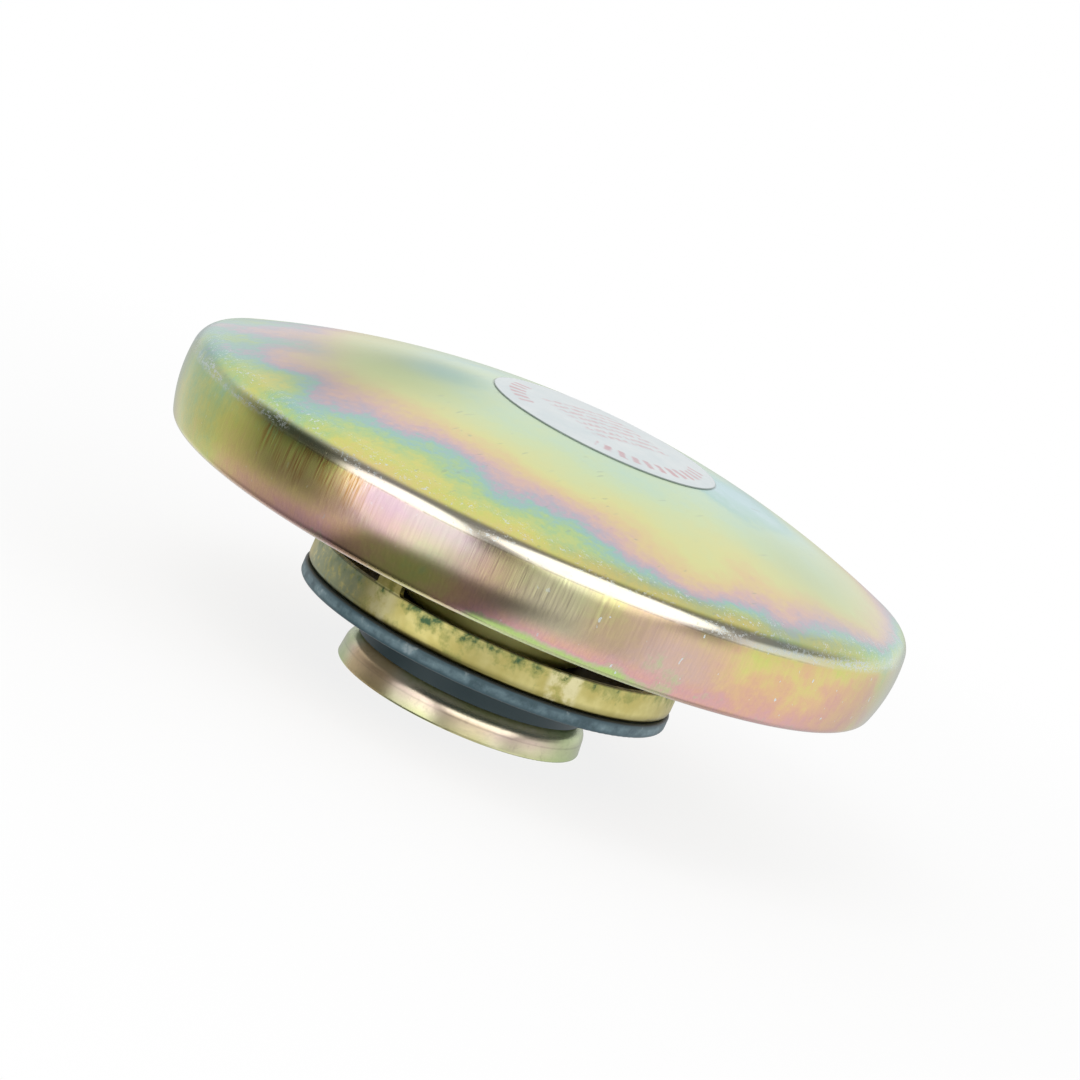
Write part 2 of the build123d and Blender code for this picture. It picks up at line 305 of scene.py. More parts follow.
# colours of the yellow chromate film, by its thickness, which is written as millimetres of the
# way from the middle of the dome to the rolled edge
filmStops = [
    (12, 196, 206, 224),
    (18, 182, 210, 220),
    (21, 158, 202, 196),
    (24, 190, 217, 190),
    (29, 205, 220, 170),
    (36, 219, 218, 152),
    (40, 224, 202, 152),
    (43, 216, 184, 176),
    (45, 190, 178, 190),
    (46.5, 156, 196, 188),
    (48.5, 178, 206, 146),
    (51, 212, 212, 126),
    (53.5, 222, 204, 138),
    (56, 225, 188, 146),
    (59, 220, 174, 156),
    (61, 216, 169, 168),
    (62.5, 198, 188, 160),
    (64.5, 182, 208, 132),
    (70, 190, 206, 130),
]

# places on the shell where the film is thicker (or, below 0, thinner) than its rings make it:
# point, radius, amount
filmPatches = [
    ((20, -4, 41), 15, -7.6),
    ((20, -11, 41), 6, -1.6),
    ((31, 6, 39), 17, -4.5),
    ((-22, -8, 42), 13, -3.8),
    ((-21, 10, 42), 14, -3.0),
    ((-49, -6, 35), 14, -6.0),
    ((-50, -21, 37.5), 11, -3.6),
    ((-41, 4, 37), 10, 2.4),
    ((-47, 9, 36), 11, -3.5),
    ((-36, -12, 38.5), 9, 2.2),
    ((-40, -22, 37), 10, -3.6),
    ((-33, -38, 35.5), 12, -4.0),
    ((-12, -38.5, 39), 12, 3.4),
    ((0, -41, 38), 8, 2.6),
    ((18, -42, 37), 11, -5.0),
    ((33, -39, 35.5), 9, -1.8),
    ((34, -17, 39), 12, -4.0),
    ((45, -18, 36), 10, -4.0),
    ((40, -7, 38), 16, -4.5),
    ((-17, -50, 29.5), 10, 4.6),
    ((-14, -51, 24), 13, -8.5),
    ((1, -53, 27), 9, 0.6),
    ((20, -50, 31), 8, 3.0),
    ((36, -39, 27.5), 13, -2.4),
    ((-46, -27, 28), 16, -1.8),
    ((-31, -28, 38), 8, -1.6),
    ((-22, -40, 37), 8, -2.0),
    ((-44.5, -15.5, 36.5), 8, -1.8),
    ((22, -37, 38), 7, -2.5),
    ((32.5, -32, 37.5), 10, -3.4),
    ((38, -36, 33.5), 6, 1.5),
    ((41, -22, 37), 8, -1.8),
]

shellLook = {
    # rings of film colour, which go on over the shoulder and down the skirt, less at its two sides
    "rings": {
        "centre": (3.5, 0.0, 0.0),
        "thinnest": 26.0,
        "domeEnd": 51.0,
        "domeEndSoft": 2.0,
        "shoulder": 34.9,
        "skirtSlope": 0.8,
        "leftSide": (-50, -22),
        "leftSlope": 0.12,
        "rightSide": (40, 52),
        "rightSlope": 0.4,
    },
    # thicker film along the front of the rolled edge
    "thickEdge": {"height": (23.8, 22.6), "turn": (-6, 22, 5), "amount": 4.0},
    # noise in the film's thickness
    "cloudy": (9.0, 3.0, 0.55),
    "cloudyWarp": 9.0,
    "fine": (1.1, 4.0, 0.7),
    "fineWarp": 5.2,
    "blotchy": (5.0, 4.0, 0.6),
    "blotchyTurn": (20, 130, 15),
    "blotchyWarp": 15.0,
    "blotchyMore": 1.8,
    "onSkirt": (32.2, 31.4),
    # drawing lines, which run down the skirt from the shoulder
    "lines": {
        "stretch": (1, 1, 0.012),
        "noise": (0.3, 3.0, 0.72),
        "left": (-43, -22, 3),
        "middle": (-6, 12, 4),
        "middleShare": 0.75,
        "gapStretch": (1, 1, 0.5),
        "gapNoise": (3.0, 2.0, 0.5),
        "gaps": (0.35, 0.6),
        "height": (25.5, 30.0),
        "strength": 0.95,
        "everywhere": 0.12,
        "right": (30, 150, 12),
        "rightLess": 0.08,
        "warp": 12.0,
    },
    # film so thin that it is pale, round at the sides
    "thin": [
        {"turn": (71, 94, 9), "height": (35, 32.5), "share": 0.6, "colour": (206, 222, 212)},
        {"turn": (-116, -80, 8), "height": (37, 33), "share": 0.6, "colour": (158, 192, 178)},
    ],
    # tints on the skirt, whose share may go to a second one along the height or the turn
    "lavender": {
        "turn": (-25, -4, 4),
        "height": (25, 27.5),
        "shares": (0.4, 0.6),
        "along": (28, 31),
        "colour": (172, 158, 196),
    },
    "pale": {
        "turn": (-1, 32, 6),
        "height": (23.5, 26.0),
        "shares": (0.3, 0.65),
        "along": (-4, 11, 3),
        "colour": (200, 208, 174),
    },
    "olive": {"turn": (-48, -28, 6), "height": (24.0, 26.0), "share": 0.3, "colour": (196, 206, 92)},
    # golden glints on the drawing lines at the left: painted highlights
    "golden": {
        "lines": (0.47, 0.57),
        "turn": (-12, -26),
        "height": (26.0, 29.5),
        "share": 0.75,
        "colour": (236, 182, 100),
    },
    "mustard": {"turn": (-60, -44, 5), "height": (24.5, 30.5, 1.5), "share": 0.3, "colour": (176, 172, 60)},
    # tinted spots on the dome: point, radius, share, colour
    "spots": [
        ((-26, -13, 41), 19, 0.85, (170, 192, 114)),
        ((-20, -9, 42), 9, 0.75, (130, 187, 169)),
        ((34, -12, 39), 22, 0.5, (192, 216, 176)),
        ((24, 1, 42), 15, 0.4, (150, 206, 214)),
    ],
    # brown along the dome's edge, and a pale line at the top of the skirt: rubbed plate in noisy patches,
    # and a painted highlight in front, where the windows reflect
    "brown": {"turn": (5, 58, 8), "height": (33.6, 35.0, 0.6), "share": 0.33, "colour": (183, 144, 126)},
    "rubbed": {
        "stretch": (1, 1, 2.5),
        "noise": (1.6, 4.0, 0.65),
        "height": (31.75, 33.4, 0.3),
        "turn": (-32, 48, 10),
        "highlightShare": 0.5,
        "noiseShare": 0.3,
        "colour": (230, 226, 226),
    },
    # painted shade on the dome, darker where it reflects dim parts of the studio: point, radius, amount
    "paintedShadePatches": [
        ((-33, -13, 39), 30, 0.24),
        ((-22, -8, 42), 12, 0.12),
        ((36, -16, 38), 18, 0.12),
        ((42, -2, 38), 15, 0.1),
        ((-33, -29, 38), 12, 0.17),
    ],
    "lineShade": {"dark": (0.47, 0.62), "darkShare": 0.42, "light": (0.46, 0.34), "lightShare": 0.4},
    # painted shade: a dark line along the crease at the top of the skirt, in front
    "creaseShade": {"height": (31.62, 31.78, 0.1), "noise": (0.36, 0.5), "turn": (-40, 46, 8), "share": 0.3},
    # painted shade in a thin ring on the dome round the label's edge
    "labelEdgeShade": {"fromLabelEdge": (-0.1, 0.2, 0.12), "height": (42.0, 42.3), "share": 0.4},
    # silvery flecks where the shoulder has rubbed, in streaky clusters, most of them at the sides
    "flecks": {
        "stretch": (1, 1, 1.7),
        "noise": (0.6, 4.0, 0.72),
        "clusterStretch": (0.3, 0.3, 1.4),
        "clusterNoise": (2.0, 3.0, 0.5),
        "clusters": (0.4, 0.55),
        "front": (-28, 30, 5),
        "moreAtSides": 0.05,
        "lowHeight": (31.9, 33.5, 0.5),
        "low": (0.53, 0.62),
        "highHeight": (33.3, 35.2, 0.5),
        "high": (0.56, 0.64),
        "share": 0.75,
        "colour": (222, 232, 234),
    },
    "scrape": {"height": (32.15, 32.6, 0.25), "turn": (36, 74, 6), "flecks": (0.44, 0.58), "share": 0.75},
    "nicks": {
        "stretch": (1, 1, 0.6),
        "noise": (0.7, 1.0, 0.5),
        "size": (0.735, 0.765),
        "turn": (8, 70, 10),
        "elsewhere": 0.2,
        "share": 0.9,
    },
    # the dull rolled edge: brown at the left, greenish in front, pink at the right
    "edge": {
        "height": (22.75, 22.25),
        "turn": (-74, 74, 6),
        "dull": 0.55,
        "dullWarp": 1.6,
        "left": (132, 116, 98),
        "toFront": (-22, -8),
        "front": (206, 208, 158),
        "toRight": (22, 36),
        "right": (188, 152, 148),
    },
    # long hair scratches on the dome
    "hair": {
        "angle": 0.5,
        "stretch": (1, 0.06, 1),
        "noise": (0.5, 0.0, 0.5),
        "size": (0.785, 0.82),
        "share": 0.3,
        "colour": (150, 165, 150),
    },
    "onDome": (33.5, 34.6),
    "roughSkirt": 0.15,
    "roughDome": 0.24,
    "roughWarp": 0.06,
    "roughWorn": 0.25,
    "reliefShares": (0.5, 0.3, -0.4),  # of the drawing lines, the fine noise and the hair scratches
    "reliefDepth": 0.01,
}


def shellPlaces(f, here):
    # what the steps of the shell's finish share
    x, y, z = f.split(here)
    turn, onSkirt = f.turn(x, y), f.step(z, *shellLook["onSkirt"])

    look = shellLook["lines"]
    lines = f.noise(f.stretch(here, look["stretch"]), *look["noise"])
    gaps = f.step(f.noise(f.stretch(here, look["gapStretch"]), *look["gapNoise"]), *look["gaps"])
    strong = (f.within(turn, look["left"]) + f.within(turn, look["middle"]) * look["middleShare"]) * gaps
    drawn = strong * f.step(z, *look["height"]) * look["strength"] + look["everywhere"]
    drawn = onSkirt * (drawn - f.within(turn, look["right"]) * look["rightLess"])
    rubbed = f.noise(f.stretch(here, shellLook["rubbed"]["stretch"]), *shellLook["rubbed"]["noise"])

    def area(look):
        return f.within(turn, look["turn"]) * f.within(z, look["height"])

    return SimpleNamespace(
        here=here, x=x, z=z, turn=turn, onSkirt=onSkirt, lines=lines, strong=strong, drawn=drawn,
        rubbed=rubbed, area=area, flat=f.stretch(here, (1, 1, 0)),
        cloudy=f.noise(here, *shellLook["cloudy"]), fine=f.noise(here, *shellLook["fine"]),
    )


def filmThickness(f, at):
    # distance from the middle of the rings, no less than the thinnest film, plus a share of the
    # height below the shoulder, plus patches, noise and drawing lines
    look = shellLook
    rings = look["rings"]
    reach = f.distance(at.flat, rings["centre"])
    reach = f.calc("SMOOTH_MIN", reach, rings["domeEnd"], rings["domeEndSoft"])
    below = f.larger(rings["shoulder"] - at.z, 0.0) * rings["skirtSlope"]
    below = below * f.fade(f.step(at.x, *rings["leftSide"]), rings["leftSlope"], 1)
    below = below * f.fade(f.step(at.x, *rings["rightSide"]), 1, rings["rightSlope"])
    film = f.larger(reach, rings["thinnest"]) + below
    for point, radius, amount in filmPatches:
        film = film + f.bump(at.here, point, radius) * amount
    film = film + at.area(look["thickEdge"]) * look["thickEdge"]["amount"]
    film = film + (at.cloudy - 0.5) * look["cloudyWarp"] + (at.fine - 0.5) * look["fineWarp"]
    blotches = (f.noise(at.here, *look["blotchy"]) - 0.5) * look["blotchyWarp"] + look["blotchyMore"]
    film = film + blotches * at.onSkirt * f.within(at.turn, look["blotchyTurn"])
    return film + (at.lines - 0.5) * at.drawn * look["lines"]["warp"]


def tinted(f, at, colour):
    # tints over the colour of the film
    for thin in shellLook["thin"]:
        colour = f.patch(colour, at.area(thin), thin)
    for look, along in ((shellLook["lavender"], at.z), (shellLook["pale"], at.turn)):
        share = f.fade(f.within(along, look["along"]), *look["shares"])
        colour = f.over(colour, at.onSkirt * at.area(look) * share, look["colour"])
    olive, golden, mustard = shellLook["olive"], shellLook["golden"], shellLook["mustard"]
    colour = f.patch(colour, at.onSkirt * at.area(olive), olive)
    # painted highlights: golden glints along the drawing lines
    shine = at.strong * at.onSkirt * f.step(at.lines, *golden["lines"]) * at.area(golden)
    colour = f.patch(colour, shine, golden)
    colour = f.patch(colour, at.onSkirt * at.area(mustard), mustard)
    for point, radius, share, spot in shellLook["spots"]:
        colour = f.over(colour, f.bump(at.here, point, radius) * share, spot)
    brown, rubbed = shellLook["brown"], shellLook["rubbed"]
    colour = f.patch(colour, at.area(brown), brown)
    # pale rubbed patches, and a painted highlight over the front
    share = f.within(at.turn, rubbed["turn"]) * rubbed["highlightShare"] + at.rubbed * rubbed["noiseShare"]
    return f.over(colour, f.within(at.z, rubbed["height"]) * share, rubbed["colour"])


def shaded(f, at):
    # painted shade: darker patches where the dome reflects dim parts of the studio, a dark line along the
    # crease at the skirt's top and a dark ring round the label's edge; and the dark and light drawing lines
    shade = 1
    # painted shade where the dome reflects dim parts of the studio
    for point, radius, amount in shellLook["paintedShadePatches"]:
        shade = shade - f.bump(at.here, point, radius) * amount
    look = shellLook["lineShade"]
    dark, light = f.step(at.lines, *look["dark"]), f.step(at.lines, *look["light"])
    shade = shade * (1 - at.drawn * (dark * look["darkShare"] - light * look["lightShare"]))
    # painted shade along the crease at the skirt's top
    look = shellLook["creaseShade"]
    shade = shade * (1 - at.area(look) * f.step(at.rubbed, *look["noise"]) * look["share"])
    # painted shade in a thin ring round the label's edge
    look = shellLook["labelEdgeShade"]
    fromEdge = f.distance(at.flat, (*labelLook["centre"], 0)) - labelLook["radius"]
    labelEdgeShade = f.within(fromEdge, look["fromLabelEdge"]) * f.step(at.z, *look["height"])
    return shade * (1 - labelEdgeShade * look["share"])


def wornShare(f, at):
    # flecks in two bands at the shoulder, a scraped line below them, and nicks on the skirt
    look = shellLook["flecks"]
    flecks = f.noise(f.stretch(at.here, look["stretch"]), *look["noise"])
    clusters = f.noise(f.stretch(at.here, look["clusterStretch"]), *look["clusterNoise"])
    clusters = f.step(clusters, *look["clusters"])
    atSides = 1 - f.within(at.turn, look["front"])
    low = f.within(at.z, look["lowHeight"]) * f.step(flecks + atSides * look["moreAtSides"], *look["low"])
    high = f.within(at.z, look["highHeight"]) * f.step(flecks, *look["high"])
    scuffed = f.larger(low * clusters, high * clusters)
    scrape = shellLook["scrape"]
    scraped = at.area(scrape) * f.step(flecks, *scrape["flecks"])
    scuffed = f.larger(scuffed, scraped * scrape["share"]) * look["share"]
    look = shellLook["nicks"]
    nicks = f.step(f.noise(f.stretch(at.here, look["stretch"]), *look["noise"]), *look["size"])
    nicks = nicks * at.onSkirt * f.fade(f.within(at.turn, look["turn"]), look["elsewhere"], 1)
    return f.larger(scuffed, nicks * look["share"])


def makeShellFinish():
    # yellow zinc plate on the drawn shell
    look = shellLook
    material, f, here = newFinish("yellow plate, shell")
    at = shellPlaces(f, here)
    colour = tinted(f, at, f.ramp(filmThickness(f, at), filmStops))
    worn = wornShare(f, at)
    colour = f.over(f.tint(colour, shaded(f, at)), worn, look["flecks"]["colour"])

    edge = look["edge"]
    dull = at.area(edge) * ((at.lines - 0.5) * edge["dullWarp"] + edge["dull"])
    edgeColour = f.mix(f.step(at.turn, *edge["toFront"]), paint(*edge["left"]), paint(*edge["front"]))
    edgeColour = f.over(edgeColour, f.step(at.turn, *edge["toRight"]), edge["right"])
    colour = f.mix(dull, colour, edgeColour)

    thinLine = look["hair"]
    turned = f.stretch(f.spin(here, thinLine["angle"]), thinLine["stretch"])
    hair = f.step(f.noise(turned, *thinLine["noise"]), *thinLine["size"]) * (1 - at.onSkirt)
    colour = f.patch(colour, hair, thinLine)

    rough = f.fade(f.step(at.z, *look["onDome"]), look["roughSkirt"], look["roughDome"])
    rough = rough + (at.cloudy - 0.5) * look["roughWarp"] + worn * look["roughWorn"]
    ofLines, ofFine, ofHair = look["reliefShares"]
    height = at.lines * at.drawn * ofLines + at.fine * ofFine + hair * ofHair
    surface(f, colour, rough, 1 - dull, f.relief(height, look["reliefDepth"]))
    return material


plateLook = {
    "cloudy": (9.0, 3.0, 0.55),
    "fine": (1.2, 3.0, 0.6),
    "fineShare": 0.2,
    "stains": (3.0, 3.0, 0.5),
    "stained": (0.55, 0.75),
    "stainShade": 0.15,
    "grain": (0.4, 3.0, 0.5),
    "grainDepth": 0.008,
    "roughWarp": 0.08,
}


def makePlateFinish(name, film, spread, rough, shade=1.0):
    # yellow zinc plate on a smaller pressing: the film's thickness, how much it varies, and the gloss;
    # shade scales the colour, and above 1 it is painted light
    look = plateLook
    material, f, here = newFinish(name)
    cloudy, fine = f.noise(here, *look["cloudy"]), f.noise(here, *look["fine"])
    varied = (cloudy - 0.5) * spread + (fine - 0.5) * spread * look["fineShare"] + film
    stains = f.step(f.noise(here, *look["stains"]), *look["stained"])
    colour = f.tint(f.ramp(varied, filmStops), shade - stains * look["stainShade"])
    grain = f.relief(f.noise(here, *look["grain"]), look["grainDepth"])
    surface(f, colour, (fine - 0.5) * look["roughWarp"] + rough, 1.0, grain)
    return material


cupLook = {
    "cloudy": (5.0, 3.0, 0.6),
    "fine": (0.9, 4.0, 0.65),
    "dullGold": (196, 184, 112),
    "gold": (218, 208, 142),
    "goldCloudy": (0.35, 0.68),
    "fleck": {"fine": (0.45, 0.75), "share": 0.4, "colour": (196, 190, 120)},
    # stains, most of them high on the wall and in front
    "stain": (2.6, 5.0, 0.68),
    "stainStretch": (1, 1, 0.85),
    "high": (12.4, 14.6),
    "front": (-26, 19, 4),
    "moreInFront": 0.05,
    "light": {"noise": (0.42, 0.58), "lessLow": 0.14, "share": 0.6, "colour": (150, 158, 92)},
    "dark": {"noise": (0.52, 0.66), "lessLow": 0.2, "share": 0.9, "colour": (58, 98, 72)},
    "right": (32, 140, 8),
    "lessRight": 0.06,
    # from here on heights are above the cup's floor or above the edge of its wall
    # painted shade low on the wall, below the floor, where the cup meets the seal
    "bottom": {"height": (0.5, -0.6), "share": 0.7, "colour": (120, 112, 60)},
    "grey": {"turn": (-75, -40, 5), "fine": (0.25, 0.55), "share": 0.85, "colour": (148, 158, 130)},
    "besideEar": (-38, -28, 2),
    "besideEarShare": 0.6,
    "rightPatch": (20.5, 30.5, 1.2),
    # pale patches beside the ear and on the right: painted highlights
    "pale": {"stain": (0.62, 0.4), "share": 0.6, "colour": (246, 240, 200)},
    "edgeBelowHousing": 7.4,
    # painted shade along the top edge of the wall
    "edge": {"height": (-0.16, 0.1, 0.06), "shade": 0.5},
    # painted shade on the ears, under the shell's rim
    "ears": {"height": (0.1, 0.3), "share": 0.7, "colour": (138, 126, 62)},
    # painted shade on the floor inside the cup
    "floorShade": {"reach": (26.4, 26.0), "height": (-0.3, 0.6, 0.2), "colour": (34, 30, 16)},
    "rough": 0.36,
    "roughStain": 0.08,
    "roughWarp": 0.1,
    "roughFloorShade": 0.3,
    "reliefStain": 0.6,
    "reliefDepth": 0.02,
}


def makeSealCupFinish():
    # dull gold plate with dark green stains in the upper half of the wall
    look = cupLook
    material, f, here = newFinish("yellow plate, seal cup")
    x, y, z = f.split(here)
    turn = f.turn(x, y)
    aboveFloor = z - heights("clamp_washer")[0]
    aboveEdge = z - (heights("spring_housing")[0] - look["edgeBelowHousing"])
    cloudy, fine = f.noise(here, *look["cloudy"]), f.noise(here, *look["fine"])
    colour = f.mix(f.step(cloudy, *look["goldCloudy"]), paint(*look["dullGold"]), paint(*look["gold"]))
    fleck = look["fleck"]
    colour = f.patch(colour, f.step(fine, *fleck["fine"]), fleck)

    stain = f.noise(f.stretch(here, look["stainStretch"]), *look["stain"])
    low = 1 - f.step(z, *look["high"])
    front = f.within(turn, look["front"]) * look["moreInFront"]
    light, dark = look["light"], look["dark"]
    stained = f.step(stain - low * light["lessLow"] + front, *light["noise"])
    colour = f.patch(colour, stained, light)
    less = low * dark["lessLow"] + f.within(turn, look["right"]) * look["lessRight"]
    colour = f.patch(colour, f.step(stain - less + front, *dark["noise"]), dark)
    # painted shade low on the wall, over the seal
    bottom = look["bottom"]
    colour = f.patch(colour, f.step(aboveFloor, *bottom["height"]), bottom)

    # greyer at the front's left; pale patches beside the ear and on the right are painted highlights
    grey, pale, edge, ears, floorShade = look["grey"], look["pale"], look["edge"], look["ears"], look["floorShade"]
    colour = f.patch(colour, f.within(turn, grey["turn"]) * f.step(fine, *grey["fine"]), grey)
    patches = f.within(turn, look["besideEar"]) * look["besideEarShare"]
    patches = patches + f.within(turn, look["rightPatch"])
    colour = f.patch(colour, patches * f.step(stain, *pale["stain"]), pale)
    # painted shade along the top edge of the wall
    colour = f.tint(colour, 1 - f.within(aboveEdge, edge["height"]) * edge["shade"])
    # painted shade on the ears, under the shell's rim
    colour = f.patch(colour, f.step(aboveEdge, *ears["height"]), ears)
    # painted shade: the floor inside is dark, deep in the cup
    inside = f.step(f.fromAxis(here), *floorShade["reach"]) * f.within(aboveFloor, floorShade["height"])
    colour = f.over(colour, inside, floorShade["colour"])
    rough = stained * look["roughStain"] + (fine - 0.5) * look["roughWarp"] + inside * look["roughFloorShade"]
    relief = f.relief(fine + stain * look["reliefStain"], look["reliefDepth"])
    surface(f, colour, rough + look["rough"], 1.0, relief)
    return material


panLook = {
    "cloudy": (6.0, 3.0, 0.6),
    "cloudyWarp": 2.4,
    "fine": (0.9, 4.0, 0.65),
    "fineWarp": 0.5,
    # colours by height, olive at the shoulder, then pinkish, greener towards the lower edge
    "stops": [
        (0, 196, 200, 150),
        (1.2, 220, 212, 180),
        (2.4, 220, 200, 184),
        (3.4, 226, 218, 190),
        (4.4, 186, 188, 132),
    ],
    "wall": (14.0, 16.2),
    "golden": {"turn": (-62, -32, 6), "share": 0.7, "colour": (216, 184, 134)},
    "brown": {"turn": (-4, 18, 6), "height": (2.7, 2.2), "share": 0.5, "colour": (176, 160, 116)},
    "green": {"left": (-60, -74), "right": (38, 62), "share": 0.7, "colour": (154, 178, 122)},
    "specks": {"noise": (0.5, 0.8), "shade": 0.2},
    # painted shade: a dark line where the shoulder's round meets the wall
    "thinLine": {"height": (2.0, 2.2, 0.12), "shade": 0.18},
    # painted shade on the top inside the shoulder, under the seal
    "inside": {"reach": (17.2, 16.9), "height": (3.5, 3.2), "shade": 0.6},
    "dullTop": {"height": (3.2, 3.8), "amount": 0.5},
    "dullWall": {"turn": (-62, -18, 6), "height": (3.8, 3.2), "amount": 0.4},
    "rough": 0.24,
    "roughWarp": 0.1,
    "reliefDepth": 0.012,
}


def makePanFinish():
    # yellow plate whose colour goes by height, with patches round the wall, and painted shade on the top
    # inside the shoulder, under the seal
    look = panLook
    material, f, here = newFinish("yellow plate, pan")
    x, y, z = f.split(here)
    turn, reach = f.turn(x, y), f.fromAxis(here)
    cloudy, fine = f.noise(here, *look["cloudy"]), f.noise(here, *look["fine"])
    height = z + (cloudy - 0.5) * look["cloudyWarp"] + (fine - 0.5) * look["fineWarp"]
    colour = f.ramp(height, look["stops"])

    wall = f.step(reach, *look["wall"])
    golden, brown, green = look["golden"], look["brown"], look["green"]
    colour = f.patch(colour, wall * f.within(turn, golden["turn"]), golden)
    colour = f.patch(colour, wall * f.within(turn, brown["turn"]) * f.step(z, *brown["height"]), brown)
    sides = f.step(turn, *green["left"]) + f.step(turn, *green["right"])
    colour = f.patch(colour, wall * sides, green)

    specks, thinLine, inside = look["specks"], look["thinLine"], look["inside"]
    marks = f.step(fine, *specks["noise"]) * specks["shade"]
    # specks, and a painted shade line where the shoulder meets the wall
    colour = f.tint(colour, 1 - marks - f.within(z, thinLine["height"]) * thinLine["shade"])
    # painted shade on the top, under the seal
    darker = f.step(reach, *inside["reach"]) * f.step(z, *inside["height"]) * inside["shade"]
    colour = f.tint(colour, 1 - darker)
    top, side = look["dullTop"], look["dullWall"]
    dull = wall * f.within(turn, side["turn"]) * f.step(z, *side["height"]) * side["amount"]
    dull = dull + f.step(z, *top["height"]) * top["amount"]
    relief = f.relief(fine, look["reliefDepth"])
    surface(f, colour, (fine - 0.5) * look["roughWarp"] + look["rough"], 1 - dull, relief)
    return material


rubberLook = {
    # the hub's colour is the disc's rubber in painted shade, under the disc
    "hub": (44, 68, 74),
    "disc": (70, 100, 112),
    "discHeight": (8.55, 8.9),
    "dust": (3.5, 4.0, 0.65),
    "band": {"height": (9.1, 10.1, 0.3), "dust": (0.36, 0.64), "share": 0.85, "colour": (136, 168, 182)},
    "specks": {"dust": (0.58, 0.7), "share": 0.6, "colour": (196, 212, 218)},
    # painted shade along the disc's top, under the cup's edge
    "top": {"height": (10.35, 10.6), "colour": (62, 72, 78)},
    "rough": 0.45,
    "roughWarp": 0.15,
    "grain": (0.35, 3.0, 0.5),
    "reliefDust": 0.5,
    "reliefDepth": 0.02,
}


def makeRubberFinish():
    # blue-grey moulded rubber, lighter and dusty on the disc's edge, with painted shade on the hub under
    # the disc and along the disc's top
    look = rubberLook
    material, f, here = newFinish("seal rubber")
    z = f.split(here)[2]
    dust = f.noise(here, *look["dust"])
    disc = f.step(z, *look["discHeight"])
    # painted shade on the hub, under the disc
    colour = f.mix(disc, paint(*look["hub"]), paint(*look["disc"]))
    band, specks, top = look["band"], look["specks"], look["top"]
    colour = f.patch(colour, f.within(z, band["height"]) * f.step(dust, *band["dust"]), band)
    colour = f.patch(colour, disc * f.step(dust, *specks["dust"]), specks)
    # painted shade along the disc's top, under the cup's edge
    colour = f.over(colour, f.step(z, *top["height"]), top["colour"])
    relief = f.relief(f.noise(here, *look["grain"]) + dust * look["reliefDust"], look["reliefDepth"])
    surface(f, colour, (dust - 0.5) * look["roughWarp"] + look["rough"], 0.0, relief, IOR=1.5)
    return material


labelLook = {
    "centre": (3.1, -3.3),
    "radius": 16.5,
    "thickness": 0.15,
    "clearance": 0.004,
    "bevel": 0.03,
    "segments": 180,
    # ring of uneven bars, which wave in and out, in arcs; angles in radians from +X
    "uneven": (1.3, 3.0, 0.7),
    "wave": 1.2,
    "ring": (12.15, 14.45, 0.2),
    "barsPerRadian": 6.4,
    "barShift": 0.6,
    "bar": (0.2, 0.7, 0.12),
    "arcs": [(-1.62, 0.1, 0.02), (2.75, 2.8), (-2.55, -2.6)],
    # rows of dashes in the middle
    "rowTurn": -0.8,
    "rowPitch": 1.9,
    "row": (0.7, 0.3),
    "cellStretch": (1.0, 0.55, 0),
    "cells": (1.1, 2.0, 0.6),
    "dash": (0.4, 0.56),
    "block": ((-7.6, 7.0, 0.8), (-6.2, 6.6, 0.6)),
    "rowShare": 0.8,
    "ink": (188, 104, 116),
    "faded": (2.0, 3.0, 0.5),
    "inkShares": (0.3, 0.9),
    "silver": ((194, 208, 212), (224, 228, 228)),
    "silverNoise": (4.0, 3.0, 0.5),
    "grain": (0.7, 3.0, 0.7),
    "grainShades": (0.94, 1.06),
    # painted shade along the label's edge
    "rim": {"fromEdge": (-0.14, -0.03), "share": 0.6, "colour": (96, 112, 100)},
    "rough": 0.32,
    "relief": (1.5, 2.0, 0.5),
    "reliefDepth": 0.006,
}


def makeLabelFinish():
    # silvery sticker with a ring of short bars and a block of rows in faded red
    look = labelLook
    material, f, here = newFinish("label vinyl")
    middle = {0: here, 1: (*look["centre"], 0)}
    centred = f.node("ShaderNodeVectorMath", {"operation": "SUBTRACT"}, middle)
    x, y = f.split(centred)[:2]
    reach, angle = f.fromAxis(centred), f.calc("ARCTAN2", y, x)
    uneven = f.noise(here, *look["uneven"])
    ring = f.within(reach + (uneven - 0.5) * look["wave"], look["ring"])
    bars = f.calc("FRACT", angle * look["barsPerRadian"] + (uneven - 0.5) * look["barShift"])
    first, second, third = (f.within(angle, span) for span in look["arcs"])
    bars = ring * f.within(bars, look["bar"]) * (first + second + third)

    rows = f.spin(centred, look["rowTurn"])
    u, v = f.split(rows)[:2]
    row = f.step(f.calc("PINGPONG", v, look["rowPitch"] / 2), *look["row"])
    cells = f.noise(f.stretch(rows, look["cellStretch"]), *look["cells"])
    block = f.within(u, look["block"][0]) * f.within(v, look["block"][1])
    marks = bars + row * block * f.step(cells, *look["dash"]) * look["rowShare"]

    silver = f.mix(f.noise(here, *look["silverNoise"]), *(paint(*colour) for colour in look["silver"]))
    silver = f.tint(silver, f.fade(f.noise(here, *look["grain"]), *look["grainShades"]))
    faded = f.fade(f.noise(here, *look["faded"]), *look["inkShares"])
    colour = f.over(silver, marks * faded, look["ink"])
    # painted shade along the label's edge
    rim = look["rim"]
    colour = f.patch(colour, f.step(reach - look["radius"], *rim["fromEdge"]), rim)
    relief = f.relief(f.noise(here, *look["relief"]), look["reliefDepth"])
    surface(f, colour, look["rough"], 0.0, relief, IOR=1.5)
    return material


metalLook = {
    "cloudy": (1.2, 3.0, 0.6),
    "roughWarp": 0.12,
    "grain": (0.25, 2.0, 0.5),
    "reliefDepth": 0.006,
}


